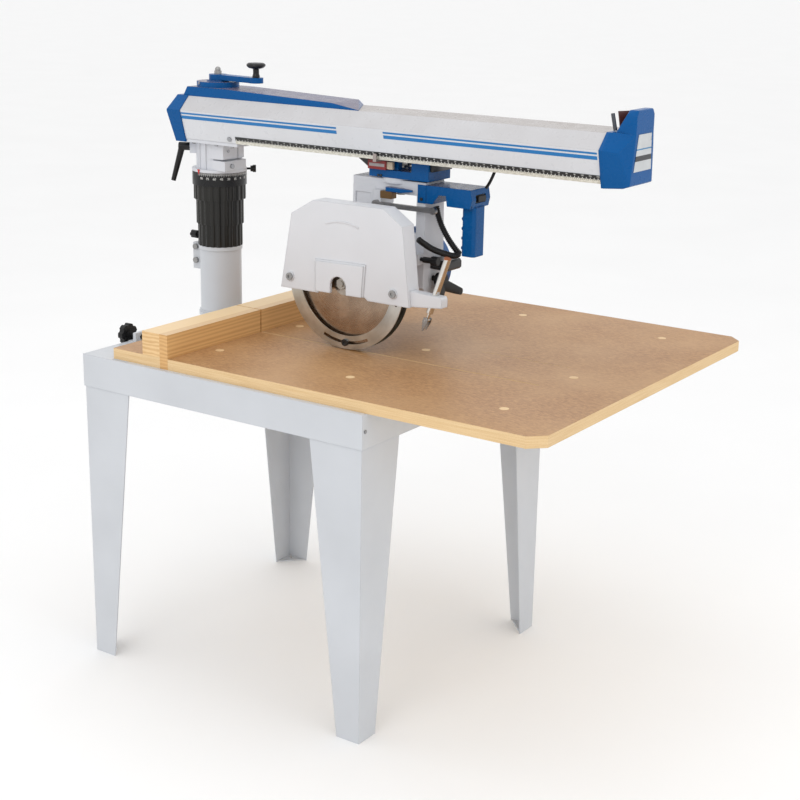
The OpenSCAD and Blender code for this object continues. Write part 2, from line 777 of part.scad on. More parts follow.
// box with a recess in each side, on the front leg
module connection_box() {
  z = table_h;
  back = yoke_front - 0.05;
  difference() {
    along_x(125, 184) polygon([[back, z + 193], [-300, z + 191], [-305, z + 196],
      [-305, z + 211], [-300, z + 217], [back, z + 217]]);
    for (x = [124, 180]) along_x(x, x + 5)
      polygon([[-256, z + 199], [-296, z + 199], [-296, z + 210], [-256, z + 210]]);
  }
}
module yoke_fittings() {
  // swivel bolt, washer and hexagons above and below
  color(steel) {
    swivel_cyl(8, yoke_top - 34, carriage_z + 34);
    swivel_cyl(24, carriage_z + 24.1, carriage_z + 29);
    swivel_cyl(14, carriage_z + 29, carriage_z + 38, $fn = 6);
    swivel_cyl(14, yoke_top - 42, yoke_top - 34, $fn = 6);
  }
  // bronze latch block
  color([0.55, 0.42, 0.3]) difference() {
    box(76, 98, -162, -128, table_h + 364, table_h + 382);
    zcyl(4, latch_x, latch_y, table_h + 363, table_h + 383);
  }
  color(black) {
    xcyl(4, -240, table_h + 370, 91.5, column_x - 44.85);
    connection_box();
  }
}
module swivel_index_lever() {
  z = table_h + 382.1;
  color(blue) {
    zcyl(3.95, latch_x, latch_y, z - 12, z + 2);
    hull() {
      zcyl(9, latch_x, latch_y, z, z + 10);
      zcyl(8, 84, -185, z, z + 10);
      zcyl(3, 88, -214, z + 3, z + 8);
    }
  }
}
module swivel_clamp_bar() {
  z = clamp_bar_z;
  color(steel) union() {
    box(76, 86, -284, clamp_bar_y, z - 6, z + 6);
    xcyl(9, -284, z, 76, 86);
    xcyl(10, clamp_bar_y, z, 76, 86);
    xcyl(6, clamp_bar_y, z, 85, 108);
  }
}
module bevel_index_knob() {
  color(black) {
    ycyl(5, bevel_pin_x, bevel_pin_z, -286, -226);
    ycyl(7.5, bevel_pin_x, bevel_pin_z, -284.5, -258.5);
    translate([bevel_pin_x, -284, bevel_pin_z]) rotate([90, 0, 0]) linear_extrude(15)
      notched_disc(12, 8, 13.6, 3);
    ycyl(10, bevel_pin_x, bevel_pin_z, -301, -298.5);
  }
}

// ---- pull handle, cables and bevel handle ----
// hand grip in plan, scalloped on its left and right sides
module grip_outline() {
  square([34, 38], center = true);
  for (y = [0, 11, -11], x = [-17, 17]) translate([x, y]) circle(r = 8);
  translate([-25, -11]) square([50, 22]);
}
module handle_bracket() {
  top = yoke_top - 5;
  low = yoke_top - 50;
  back = yoke_front - 0.05;
  color(blue) difference() {
    union() {
      mid_along_x(43) polygon([[back, top], [back, low], [-270, low], [-289, yoke_top - 26],
        [-309, yoke_top - 26], [-313, low - 1], [-379, low - 1], [-384, yoke_top - 30],
        [-379, top]]);
      // cheeks either side of the yoke
      for (x = [column_x - 44.8, column_x + 42.2]) along_x(x, x + 2.6)
        polygon([[-228, top], [-228, low], [-252, low], [-252, top]]);
      translate([column_x, -364, yoke_top - 172]) linear_extrude(122) union() grip_outline();
      // finger ridges behind the grip
      for (i = [0:3]) xcyl(5, -347.5, yoke_top - 80 - 24 * i, column_x - 20, column_x + 20);
    }
    // switch well
    box(column_x - 22, column_x + 24, -386, -370, yoke_top - 39, yoke_top - 19);
    ycyl(3, column_x - 36, yoke_top - 46, -380, -370);
  }
}
module trigger_switch() {
  color(black) {
    box(column_x - 21.9, column_x + 23.9, -380, -374, yoke_top - 38.9, yoke_top - 19.1);
    box(column_x - 16, column_x + 18, -387, -380, yoke_top - 36, yoke_top - 22);
  }
}
// centre lines: x, y, z from yoke_top
hose_points = [
  [128, -262, -60], [133, -266, -85], [140, -274, -113], [153.5, -286, -145],
  [169.5, -298, -172], [180, -302, -184], [153.5, -300, -183], [124, -292, -174],
  [85, -284, -159], [51, -276, -139], [37, -272, -129]];
supply_points = [[146, -392, -4], [153, -396, 6], [160, -400, 20], [165, -404, 35]];
module cable(points, radius, facets) {
  for (i = [0:len(points) - 2]) hull() {
    translate(points[i] + [0, 0, yoke_top]) sphere(r = radius, $fn = facets);
    translate(points[i + 1] + [0, 0, yoke_top]) sphere(r = radius, $fn = facets);
  }
}
// hose between the handle bracket and the motor, and the supply cable
module cable_hose() {
  color(black) {
    cable(hose_points, 8, 14);
    cable(supply_points, 4, 12);
  }
}
module bevel_handle() {
  y = -262;
  hub_x = column_x - 3;
  hub_z = bevel_z - 12;
  color(black) {
    bevel_cyl(7, y - 4, -236);
    ycyl(18, column_x, bevel_z - 2, y - 22, y - 2);
    hull() {
      ycyl(15, hub_x, hub_z, y - 22, y - 6);
      ycyl(9, 210, bevel_z - 41, y - 28, y - 12);
    }
    hull() {
      ycyl(16, hub_x, hub_z, y - 22, y - 6);
      ycyl(12, 116, bevel_z - 54, y - 25, y - 9);
    }
    bevel_cyl(9, y - 25, y - 20);
  }
}

// ---- motor ----
stator_r = 76;
bearing_r = 31;
shaft_r = 15;                    // blade end of the arbor
tail_r = 12;                     // fan end of the arbor

module motor_shell() {
  difference() {
    union() {
      motor_cyl(84, -5, 256);
      motor_cyl(58, -25, -4);
      for (i = [0:11]) at_motor(i * 30 + 15) box(10, 246, -3, 3, 82, 86.5);
      bevel_cyl(34, -222, -150);
      bevel_cyl(34, -70, -20);
      // bevel index tab
      translate([column_x, -215, bevel_z]) rotate([0, -45, 0]) translate([-13, -5, 24])
        cube([26, 5, 70]);
      // trunnions in the yoke's legs
      bevel_cyl(trunnion_r, -250, -200);
      bevel_cyl(trunnion_r, -22, 8);
    }
    motor_cyl(stator_r, 4, 257);
    motor_cyl(bearing_r, -14, 5);
    motor_cyl(18, -26, 5);
    bevel_cyl(7 + run, -253, -235);
  }
}
// slotted end cover on the right
module motor_end_cover() {
  difference() {
    union() {
      motor_cyl(87, 256, 264);
      motor_cyl(96, 263, 290);
      motor_cyl(92, 289, 296);
      motor_cyl(70, 295, 301);
    }
    motor_cyl(80, 255, 272);
    motor_cyl(bearing_r, 255, 288);
    for (i = [0:11]) at_motor(i * 30) box(250, 305, -3, 3, 42, 64);
  }
}
module motor_housing() {
  color(light_grey) motor_shell();
  color(blue) motor_end_cover();
}
// stator and the two bearings
module motor_internals() {
  color("peru") difference() {
    motor_cyl(stator_r, 60, 210);
    motor_cyl(47, 59, 211);
  }
  color(steel) {
    difference() {
      motor_cyl(bearing_r, -14, 3.9);
      motor_cyl(shaft_r + run, -15, 4.9);
    }
    difference() {
      motor_cyl(bearing_r, 272, 288);
      motor_cyl(tail_r + run, 271, 289);
    }
  }
}
// shaft with rotor, fan and inner flange; then the outer flange and nut
module saw_arbor() {
  color(steel) union() {
    motor_cyl(shaft_r, blade_x + 12, 60);
    motor_cyl(45, 60, 210);
    motor_cyl(tail_r, 210, 287);
    for (i = [0:7]) at_motor(i * 45) box(232, 254, -2, 2, 10, 66);
    motor_cyl(30, blade_x + 1.7, blade_x + 12);
    motor_cyl(8, blade_x - 23, blade_x + 2);
  }
  color([0.45, 0.4, 0.36]) difference() {
    union() {
      motor_cyl(30, blade_x - 8, blade_x - 1.7);
      motor_cyl(15, blade_x - 20, blade_x - 8, $fn = 6);
    }
    motor_cyl(8, blade_x - 24, blade_x);
  }
}
// one tooth: fraction of the pitch, depth below the tip circle
tooth = [[0, 0], [0.12, 1.5], [0.30, 9], [0.62, 7]];
module saw_blade() {
  blade_r = blade_d / 2;
  color([0.62, 0.6, 0.58]) translate([blade_x - blade_t / 2, arbor_y, arbor_z])
    rotate([90, 0, 90]) linear_extrude(blade_t) difference() {
      polygon([for (i = [0:teeth - 1], point = tooth)
        let (angle = (i + point[0]) * 360 / teeth, radius = blade_r - point[1])
        [radius * cos(angle), radius * sin(angle)]]);
      circle(r = 8);
      for (angle = [45, 135, 225, 315]) rotate(angle) translate([blade_r - 24, 0]) circle(r = 3);
    }
}

// ---- guards ----
guard_left = blade_x - 27;
guard_right = blade_x + 21;
guard_screw_points = [[39.3, table_h + 167.6], [-274.3, table_h + 165.1]];  // y, z
// lower guard rings
ring_y = -122;
ring_z = table_h + 175.2;
ring_r = 173;
ring_bore_r = 139;
ring_screw_y = ring_y - 2;       // screw near the bottom of the outer ring
ring_screw_z = ring_z - 156;
// anti-kickback rod, leaning in the (y, z) plane
rod_lean = 19;
rod_r = 8.5;
pawl_pivot = -54;                // along the rod

module at_rod() { translate([blade_x - 3, -376, table_h + 160]) rotate([rod_lean, 0, 0]) children(); }
// plate along X from points in (y, height above the table)
module guard_slab(x1, x2, points) { along_x(x1, x2) translate([0, table_h]) polygon(points); }

module blade_guard() {
  color([0.88, 0.89, 0.9]) difference() {
    union() {
      guard_slab(guard_left, guard_right,
        [[69, 137], [35, 328], [-33, 367], [-243, 367], [-298, 330], [-321, 137]]);
      // raised two-step panel round the arbor opening
      guard_slab(guard_left - 3, guard_left + 1,
        [[-40, 142], [-40, 222], [-194, 226], [-187, 142]]);
      guard_slab(guard_left - 5.5, guard_left - 2,
        [[-44, 142], [-44, 218], [-189, 222], [-183, 142]]);
      // front block that holds the rod
      guard_slab(guard_left + 10, guard_right - 12,
        [[-310, 176], [-403, 172], [-407, 166], [-407, 146], [-310, 137]]);
      for (p = guard_screw_points) xcyl(12, p[0], p[1], guard_left - 2, guard_left + 1);
      // thin arched rib
      along_x(guard_left - 1, guard_left + 1) translate([-120, table_h + 180]) intersection() {
        difference() {
          circle(r = 144);
          circle(r = 140);
        }
        translate([-50, 130]) square([98, 20]);
      }
    }
    guard_slab(guard_left + 3, guard_right - 3,
      [[66.5, 130], [32.2, 326], [-34, 364], [-242, 364], [-295.2, 328.2], [-318.8, 130]]);
    // arbor openings
    along_x(guard_left - 7, guard_left + 4) union() {
      translate([arbor_y, arbor_z - 4]) circle(r = 24);
      translate([arbor_y - 24, arbor_z - 60]) square([48, 56]);
    }
    along_x(guard_right - 4, guard_right + 1) union() {
      translate([arbor_y, arbor_z]) circle(r = 33);
      translate([arbor_y - 33, arbor_z - 60]) square([66, 60]);
    }
    // bottom edge steps up under the panel
    guard_slab(guard_left - 7, guard_left + 4,
      [[-48, 120], [-48, 142], [-190, 144], [-200, 137], [-200, 120]]);
    for (p = guard_screw_points) {
      xcyl(4, p[0], p[1], guard_left - 3, guard_left + 4);
      xcyl(4, p[0], p[1], guard_right - 4, guard_right + 1);
    }
    at_rod() cylinder(r = rod_r + run, h = 120, center = true);
  }
}
// a socket screw on the left and a plain one on the right at each point
module guard_screws() {
  color(steel) for (p = guard_screw_points) {
    difference() {
      union() {
        xcyl(9.5, p[0], p[1], guard_left - 6.5, guard_left - 2);
        xcyl(4, p[0], p[1], guard_left - 2.5, guard_left + 18.5);
        xcyl(8, p[0], p[1], guard_left + 3, guard_left + 12.9);
        xcyl(8, p[0], p[1], guard_left + 15.6, guard_left + 18.5);
      }
      xcyl(4.4, p[0], p[1], guard_left - 7, guard_left - 4, $fn = 6);
    }
    xcyl(4, p[0], p[1], guard_right - 12.5, guard_right);
    xcyl(7, p[0], p[1], guard_right, guard_right + 4);
    xcyl(8, p[0], p[1], guard_right - 6.9, guard_right - 3);
    xcyl(8, p[0], p[1], guard_right - 12.5, guard_right - 9.6);
  }
}
// half ring with upright tabs, slotted for the guard screws
module ring_plate(x, curved_slot) {
  along_x(x, x + 2.5) difference() {
    union() {
      difference() {
        translate([ring_y, ring_z]) circle(r = ring_r);
        translate([-400, ring_z]) square([500, 300]);
      }
      translate([ring_y - ring_r, ring_z - 1]) square([34, 40]);
      translate([ring_y + ring_bore_r, ring_z - 1]) square([29, 40]);
    }
    translate([ring_y, ring_z]) circle(r = ring_bore_r);
    for (p = guard_screw_points) {
      translate([p[0] - 4.1, p[1] - 30]) square([8.2, 30]);
      translate([p[0], p[1]]) circle(r = 4.1);
      translate([p[0], p[1] - 30]) circle(r = 4.1);
    }
    // long curved adjusting slot near the bottom
    if (curved_slot) translate([ring_y, ring_z]) intersection() {
      difference() {
        circle(r = 160);
        circle(r = 152);
      }
      polygon([[0, 0], [-110, -220], [100, -220]]);
    }
  }
}
module lower_guard_outer() {
  x = blade_x - 14;
  color(steel) ring_plate(x, true);
  color(black) difference() {
    xcyl(9, ring_screw_y, ring_screw_z, x - 5, x);
    xcyl(4, ring_screw_y, ring_screw_z, x - 6, x - 3);
  }
  color(steel) xcyl(3.9, ring_screw_y, ring_screw_z, x, x + 6);
}
module lower_guard_inner() { color([0.35, 0.36, 0.35]) ring_plate(blade_x + 11.5, false); }
module antikick_rod() {
  color(steel) at_rod() union() {
    translate([0, 0, -34]) cylinder(r = rod_r, h = 142);
    translate([0, 0, -50]) cylinder(r = 4, h = 24);
    translate([-6, 0, pawl_pivot]) rotate([0, 90, 0]) cylinder(r = 5, h = 12);
    translate([-10.5, 0, pawl_pivot]) rotate([0, 90, 0]) cylinder(r = 1.5 - run, h = 21);
  }
  color("chocolate") at_rod() translate([0, 0, 108]) cylinder(r = rod_r, h = 4);
}
module antikick_pawls() {
  color(steel) at_rod() for (x = [-9.2, 6.2])
    translate([x, 0, pawl_pivot]) rotate([90, 0, 90]) linear_extrude(3) difference() {
      polygon([[-6, 6], [6, 6], [7, -4], [1, -27], [-2, -27], [-7, -4]]);
      circle(r = 1.5);
    }
}

legs();
steel_frame();
table_board();
table_plugs();
rear_board();
fence_strip();
fence_spacers();
fence_clamp_brackets();
fence_clamp_left();
column_base();
frame_bolts();
column_sleeve();
sleeve_lock_knob();
elevating_nut();
lower_shroud();
middle_shroud();
upper_shroud();
inner_column();
protractor_ring();
head_casting();
head_fittings();
mitre_index_pin();
arm_clamp_lever();
arm_beam();
guide_rails();
arm_stripes();
scale_strips();
rear_cap();
front_cap();
front_fittings();
top_cover();
crank_arm();
lead_screw();
crank_nut();
crank_knob();
carriage_body();
carriage_fittings();
roller_front_left();
roller_rear_left();
roller_front_right();
roller_rear_right();
yoke();
yoke_fittings();
swivel_index_lever();
swivel_clamp_bar();
bevel_index_knob();
handle_bracket();
trigger_switch();
cable_hose();
bevel_handle();
motor_housing();
motor_internals();
saw_arbor();
saw_blade();
blade_guard();
guard_screws();
lower_guard_outer();
lower_guard_inner();
antikick_rod();
antikick_pawls();
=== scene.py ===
# Radial arm saw: finishes, ribbed hose, cord and scale numbers added to the CAD pieces.
# Metres. X runs along the fence and the blade's axis, Y along the arm with its front
# at -Y and the column at +Y, and Z is up.
import bpy, bmesh, math
from mathutils import Vector, Matrix


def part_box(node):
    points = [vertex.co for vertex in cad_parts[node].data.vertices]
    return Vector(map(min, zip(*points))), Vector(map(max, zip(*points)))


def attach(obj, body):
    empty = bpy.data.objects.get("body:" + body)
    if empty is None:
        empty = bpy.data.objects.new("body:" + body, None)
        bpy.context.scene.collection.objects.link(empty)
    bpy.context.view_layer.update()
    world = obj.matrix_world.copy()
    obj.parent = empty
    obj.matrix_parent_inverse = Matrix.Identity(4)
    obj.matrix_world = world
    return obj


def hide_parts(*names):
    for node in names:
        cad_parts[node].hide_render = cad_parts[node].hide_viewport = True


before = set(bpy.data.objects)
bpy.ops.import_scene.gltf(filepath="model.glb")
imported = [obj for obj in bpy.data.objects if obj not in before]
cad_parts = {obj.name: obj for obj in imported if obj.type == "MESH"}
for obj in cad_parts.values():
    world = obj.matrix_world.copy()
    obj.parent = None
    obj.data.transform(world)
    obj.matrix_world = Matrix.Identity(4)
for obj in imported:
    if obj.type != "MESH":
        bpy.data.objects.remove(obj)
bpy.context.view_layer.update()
scene = bpy.context.scene


def centre(part):
    return [(lo + hi) / 2 for lo, hi in zip(*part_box(part))]


TABLE_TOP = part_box("table_board")[1].z
ARM_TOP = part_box("arm_beam")[1].z
ARM_X = 0.139                                # the arm's centre plane
CARRIAGE_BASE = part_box("carriage_body")[0].z
COLUMN_X, COLUMN_Y, _ = centre("protractor_ring")
BLADE_X, BLADE_Y, BLADE_Z = centre("saw_blade")


# ------------------------------------------------------------------ material kit
def scaled(colour, factor):
    return tuple(c * factor for c in colour)


def grey(value):
    return (value,) * 3


class Material:
    """A Principled material whose patterns are laid out in object coordinates."""

    def __init__(self, name):
        self.data = bpy.data.materials.new(name)
        self.data.use_nodes = True
        self.tree = self.data.node_tree
        self.tree.nodes.clear()
        self.shader = self.node("BsdfPrincipled")
        self.node("OutputMaterial", self.shader.outputs[0])
        self.coords = self.node("TexCoord").outputs["Object"]

    def put(self, socket, value):
        """Link an output, or set a plain value or an RGB colour."""
        if isinstance(value, bpy.types.NodeSocket):
            self.tree.links.new(value, socket)
        elif isinstance(value, (tuple, list)) and len(value) == 3 and socket.type == "RGBA":
            socket.default_value = (*value, 1)
        else:
            socket.default_value = value

    def node(self, kind, *by_place, **by_name):
        node = self.tree.nodes.new("ShaderNode" + kind)
        for i, value in enumerate(by_place):
            self.put(node.inputs[i], value)
        for key, value in by_name.items():
            self.put(node.inputs[key.replace("_", " ")], value)
        return node

    def surface(self, **inputs):
        for key, value in inputs.items():
            self.put(self.shader.inputs[key.replace("_", " ")], value)

    def calc(self, operation, a, b=0.0, c=0.0):
        node = self.node("Math", a, b, c)
        node.operation = operation
        return node.outputs[0]

    def over(self, value, limit):
        return self.calc("GREATER_THAN", value, limit)

    def under(self, value, limit):
        return self.calc("LESS_THAN", value, limit)

    def product(self, first, *others):
        for other in others:
            first = self.calc("MULTIPLY", first, other)
        return first

    def mix(self, factor, a, b):
        node = self.node("Mix", factor)
        node.data_type = "RGBA"
        self.put(node.inputs[6], a)
        self.put(node.inputs[7], b)
        return node.outputs[2]

    def remap(self, value, span=(0.3, 0.7), to=(0.0, 1.0)):
        return self.node("MapRange", value, *span, *to).outputs[0]

    def fade(self, value, a, b, span=(0.3, 0.7), to=(0.0, 1.0)):
        """Colour a at the low end of span, b at the high end; to limits the share of b."""
        return self.mix(self.remap(value, span, to), a, b)

    def xyz(self):
        return self.node("SeparateXYZ", self.coords).outputs

    def polar(self, u, v, u_centre, v_centre):
        """Radius and angle in radians about a centre in the u, v plane."""
        du = self.calc("SUBTRACT", u, u_centre)
        dv = self.calc("SUBTRACT", v, v_centre)
        squares = self.calc("ADD", self.product(du, du), self.product(dv, dv))
        return self.calc("SQRT", squares), self.calc("ARCTAN2", dv, du)

    def mapping(self, stretch, shift=(0, 0, 0), coords=None):
        return self.node("Mapping", coords or self.coords, Scale=stretch, Location=shift).outputs[0]

    def noise(self, scale=1.0, detail=2.0, rough=0.5, stretch=None, coords=None, warp=0.0,
              shift=(0, 0, 0)):
        coords = coords or self.coords
        if stretch:
            coords = self.mapping(stretch, shift, coords)
        return self.node("TexNoise", Vector=coords, Scale=scale, Detail=detail,
                         Roughness=rough, Distortion=warp).outputs[0]

    def wave(self, stretch, shift=(0, 0, 0), axis="X", **inputs):
        node = self.node("TexWave", Vector=self.mapping(stretch, shift), **inputs)
        node.bands_direction = axis
        return node.outputs[1]

    def ticks(self, along, lead, width, per_unit=None):
        """Mask of marks repeating per_unit times; width is a share of the pitch."""
        along = self.calc("ADD", along, lead)
        if per_unit:
            along = self.calc("MULTIPLY", along, per_unit)
        return self.under(self.calc("FRACT", along), width)

    def facing_up(self):
        """Z of the true normal."""
        normal = self.node("NewGeometry").outputs["True Normal"]
        return self.node("SeparateXYZ", normal).outputs[2]

    def bump(self, height, strength, depth, edge=0.0):
        """Add relief, with edges rounded to radius edge, and return the material."""
        node = self.node("Bump", Strength=strength, Distance=depth, Height=height)
        if edge > 0:
            bevel = self.node("Bevel", edge)
            bevel.samples = 4
            self.put(node.inputs["Normal"], bevel.outputs[0])
        self.surface(Normal=node.outputs[0])
        return self


# ------------------------------------------------------------------ finish families
def painted(name, colour, rough=0.34, edge=0.0016, peel=0.10, coat=0.0, vary=0.05,
            sky_tone=None, amount=0.0, spec=0.45):
    """Sprayed paint, with an optional painted sky tone: a colour mixed onto faces turned upward for
    the light they catch from above.
    """
    mat = Material(name)
    tone = mat.fade(mat.noise(5.0, detail=3), scaled(colour, 1 - vary),
                    scaled(colour, 1 + vary * 0.6))
    # painted light: faces turned upward take a tone that stands in for the sky's light on them
    if sky_tone:
        level = mat.remap(mat.facing_up(), span=(0.55, 0.9))
        cover = mat.remap(mat.noise(14.0, detail=4), span=(0.2, 0.8), to=(amount * 0.7, amount))
        tone = mat.mix(mat.product(level, cover), tone, sky_tone)
    mat.surface(Base_Color=tone, Coat_Weight=coat, Coat_Roughness=0.12, Specular_IOR_Level=spec,
                Roughness=mat.remap(mat.noise(60.0), to=(rough - 0.05, rough + 0.07)))
    return mat.bump(mat.noise(850.0, detail=1.5), peel, depth=0.0003, edge=edge)


def plastic(name, colour, rough, strength=0.22):
    mat = Material(name)
    wear = mat.noise(25.0, detail=4)
    worn = tuple(c * 1.5 + 0.006 for c in colour)
    mat.surface(Base_Color=mat.fade(wear, colour, worn, span=(0.35, 0.75)),
                Roughness=mat.remap(wear, to=(rough - 0.07, rough + 0.08)),
                Specular_IOR_Level=0.28)
    return mat.bump(mat.noise(1500.0), strength, depth=0.00025, edge=0.0012)


def metal(name, colour, rough, stretch=(6, 900, 900)):
    """Metal with fine lines drawn out along the axis of least stretch."""
    mat = Material(name)
    lines = mat.noise(detail=3, rough=0.6, stretch=stretch)
    spots = mat.noise(45.0, detail=4)
    line_rough = mat.remap(lines, span=(0.2, 0.8), to=(rough - 0.08, rough + 0.1))
    spot_rough = mat.remap(spots, span=(0.4, 0.8), to=(0, 0.07))
    mat.surface(Base_Color=mat.fade(spots, scaled(colour, 0.82), colour, span=(0.35, 0.75)),
                Metallic=1.0, Roughness=mat.calc("ADD", line_rough, spot_rough))
    return mat.bump(lines, strength=0.12, depth=0.0002, edge=0.0008)


def pine(name, light, dark, seed=0.0, top_light=True):
    """Wood with its grain along X."""
    mat = Material(name)
    cloud = mat.noise(detail=3, stretch=(2.2, 26, 26), shift=(seed, seed * 2, 0), warp=0.6)
    grain = mat.wave((0.5, 9, 30), shift=(seed, 0, seed), axis="Z",
                     Scale=1.1, Distortion=5.5, Detail=3, Detail_Scale=1.4)
    pores = mat.noise(detail=4, rough=0.7, stretch=(22, 900, 900))
    tone = mat.fade(grain, light, dark, span=(0.1, 0.95), to=(0.0, 0.75))
    tone = mat.fade(cloud, tone, scaled(light, 1.06), span=(0.35, 0.7), to=(0.0, 0.45))
    tone = mat.fade(pores, tone, scaled(dark, 0.72), span=(0.60, 0.72), to=(0.0, 0.30))
    if top_light:
        tone = mat.fade(mat.facing_up(), tone, (0.86, 0.70, 0.47), span=(0.5, 0.6),
                        to=(0.0, 0.45))
    mat.surface(Base_Color=tone, Roughness=mat.remap(pores, to=(0.42, 0.55)))
    relief = mat.calc("ADD", mat.calc("MULTIPLY", grain, 0.3), pores)
    return mat.bump(relief, strength=0.14, depth=0.0004, edge=0.0012)


def patch(colour, rough, metallic=0.0, **limits):
    """A region of its own finish, bounded by limits such as z_over or x_under."""
    return colour, rough, metallic, limits


def patched(name, colour, patches, rough, metallic=0.0, strength=0.15):
    """One finish overlaid with patches; later ones cover earlier ones."""
    mat = Material(name)
    axes = dict(zip("xyz", mat.xyz()))
    wear = mat.noise(30.0, detail=3)
    tone = mat.fade(wear, scaled(colour, 0.85), colour)
    rough = mat.remap(wear, to=(rough - 0.05, rough + 0.06))
    for patch_colour, patch_rough, patch_metallic, limits in patches:
        tests = []
        for key, limit in limits.items():
            axis, side = key.split("_")
            tests.append(getattr(mat, side)(axes[axis], limit))
        mask = mat.product(*tests)
        tone = mat.mix(mask, tone, mat.fade(wear, scaled(patch_colour, 0.82), patch_colour))
        rough = mat.remap(mask, span=(0, 1), to=(rough, patch_rough))
        metallic = mat.remap(mask, span=(0, 1), to=(metallic, patch_metallic))
    mat.surface(Base_Color=tone, Roughness=rough, Metallic=metallic)
    return mat.bump(mat.noise(700.0), strength, depth=0.0003, edge=0.0008)


def turned(name, colour, rough, strength, tint=None, black_below=None):
    """Steel with fine circular marks about the blade's axis; black below an x."""
    mat = Material(name)
    x, y, z = mat.xyz()
    radius, angle = mat.polar(y, z, BLADE_Y, BLADE_Z)
    rings = mat.node("CombineXYZ", mat.calc("MULTIPLY", radius, 900.0),
                     mat.calc("MULTIPLY", angle, 1.5)).outputs[0]
    lines = mat.noise(detail=4, rough=0.7, coords=rings)
    arcs = mat.noise(detail=3, rough=0.6, stretch=(0.03, 0.9, 1.0), coords=rings)
    spots = mat.noise(22.0, detail=5, rough=0.6)
    tone = mat.fade(spots, scaled(colour, 0.72), colour, span=(0.35, 0.7))
    if tint:
        tone = mat.fade(mat.noise(9.0, detail=3), tone, tint, span=(0.45, 0.7), to=(0.0, 0.6))
    tone = mat.fade(arcs, tone, scaled(colour, 0.5), span=(0.35, 0.7), to=(0.0, 0.55))
    metallic = 1.0
    if black_below is not None:
        black_part = mat.under(x, black_below)
        tone = mat.mix(black_part, tone, grey(0.014))
        metallic = mat.calc("SUBTRACT", 1.0, black_part)
    line_rough = mat.remap(lines, span=(0.2, 0.8), to=(rough - 0.06, rough + 0.1))
    spot_rough = mat.remap(spots, span=(0.5, 0.8), to=(0, 0.08))
    mat.surface(Base_Color=tone, Metallic=metallic, Anisotropic=0.4,
                Roughness=mat.calc("ADD", line_rough, spot_rough))
    return mat.bump(lines, strength, depth=0.0002, edge=0.0004)


# ------------------------------------------------------------------ single finishes
def shroud_plastic():
    """Glossy black with upright streaks."""
    mat = Material("shroud_plastic")
    streaks = mat.noise(18.0, detail=3, stretch=(1, 1, 0.12))
    mat.surface(Base_Color=mat.fade(streaks, (0.0055, 0.0055, 0.005), (0.021, 0.020, 0.017),
                                    span=(0.3, 0.75)),
                Roughness=mat.remap(streaks, to=(0.13, 0.24)),
                Coat_Weight=0.05, Coat_Roughness=0.08, Specular_IOR_Level=0.3)
    return mat.bump(mat.noise(900.0), strength=0.08, depth=0.0002, edge=0.0009)


def hardboard():
    """Brown fibrous top, pale layered edges, and painted shade on upward faces sunk below the top.
    """
    mat = Material("hardboard")
    _, _, z = mat.xyz()
    fibre = mat.noise(detail=5, rough=0.65, stretch=(260, 90, 260))
    fine = mat.noise(420.0, detail=3, rough=0.7)
    cloud = mat.noise(3.5, detail=5, rough=0.55)
    dots = mat.noise(150.0, rough=0.6)
    scuffs = mat.noise(detail=6, rough=0.75, stretch=(14, 900, 900))   # long in X
    layers = mat.noise(detail=3, rough=0.6, stretch=(9, 9, 900))
    top = mat.fade(fibre, (0.290, 0.140, 0.052), (0.500, 0.275, 0.118), span=(0.34, 0.66))
    top = mat.fade(cloud, top, (0.53, 0.315, 0.150), span=(0.38, 0.66), to=(0.0, 0.6))
    top = mat.fade(dots, top, (0.22, 0.115, 0.055), span=(0.62, 0.72), to=(0.0, 0.30))
    top = mat.fade(scuffs, top, (0.62, 0.45, 0.31), span=(0.66, 0.74), to=(0.0, 0.16))
    edge = mat.fade(layers, (0.66, 0.44, 0.21), (0.83, 0.62, 0.36))
    edge = mat.fade(fine, edge, (0.50, 0.30, 0.13), span=(0.45, 0.8), to=(0.0, 0.35))
    up = mat.remap(mat.facing_up(), span=(0.5, 0.6))
    # painted shade: upward faces lying below the table's top are darkened
    recess_shade = mat.under(z, TABLE_TOP - 0.0006)
    top_rough = mat.fade(mat.noise(1.2), grey(0.38), grey(0.50))
    mat.surface(Base_Color=mat.mix(up, edge, mat.mix(recess_shade, top, (0.19, 0.10, 0.05))),
                Roughness=mat.mix(up, grey(0.62), top_rough), Specular_IOR_Level=0.38)
    relief = mat.calc("ADD", mat.calc("MULTIPLY", fibre, 0.5), mat.calc("MULTIPLY", fine, 0.5))
    return mat.bump(relief, strength=0.16, depth=0.0004, edge=0.0016)


def motor_paint():
    """Pale paint, with blue on the cover at the +X end."""
    mat = Material("motor_paint")
    x, _, _ = mat.xyz()
    wear = mat.noise(12.0, detail=3)
    body = mat.fade(wear, (0.56, 0.575, 0.61), (0.64, 0.655, 0.69))
    cover = mat.over(x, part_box("motor_housing")[1].x - 0.0451)
    mat.surface(Base_Color=mat.mix(cover, body, BLUE), Coat_Weight=0.15,
                Roughness=mat.remap(wear, to=(0.3, 0.4)))
    return mat.bump(mat.noise(700.0), strength=0.2, depth=0.0004, edge=0.0015)


def motor_winding():
    mat = Material("motor_winding")
    wires = mat.wave((400, 0, 0), Scale=1.0)
    mat.surface(Base_Color=mat.mix(wires, (0.35, 0.12, 0.04), (0.75, 0.36, 0.14)),
                Metallic=0.8, Roughness=mat.remap(mat.noise(40), to=(0.25, 0.4)))
    return mat.bump(wires, strength=0.5, depth=0.0006)


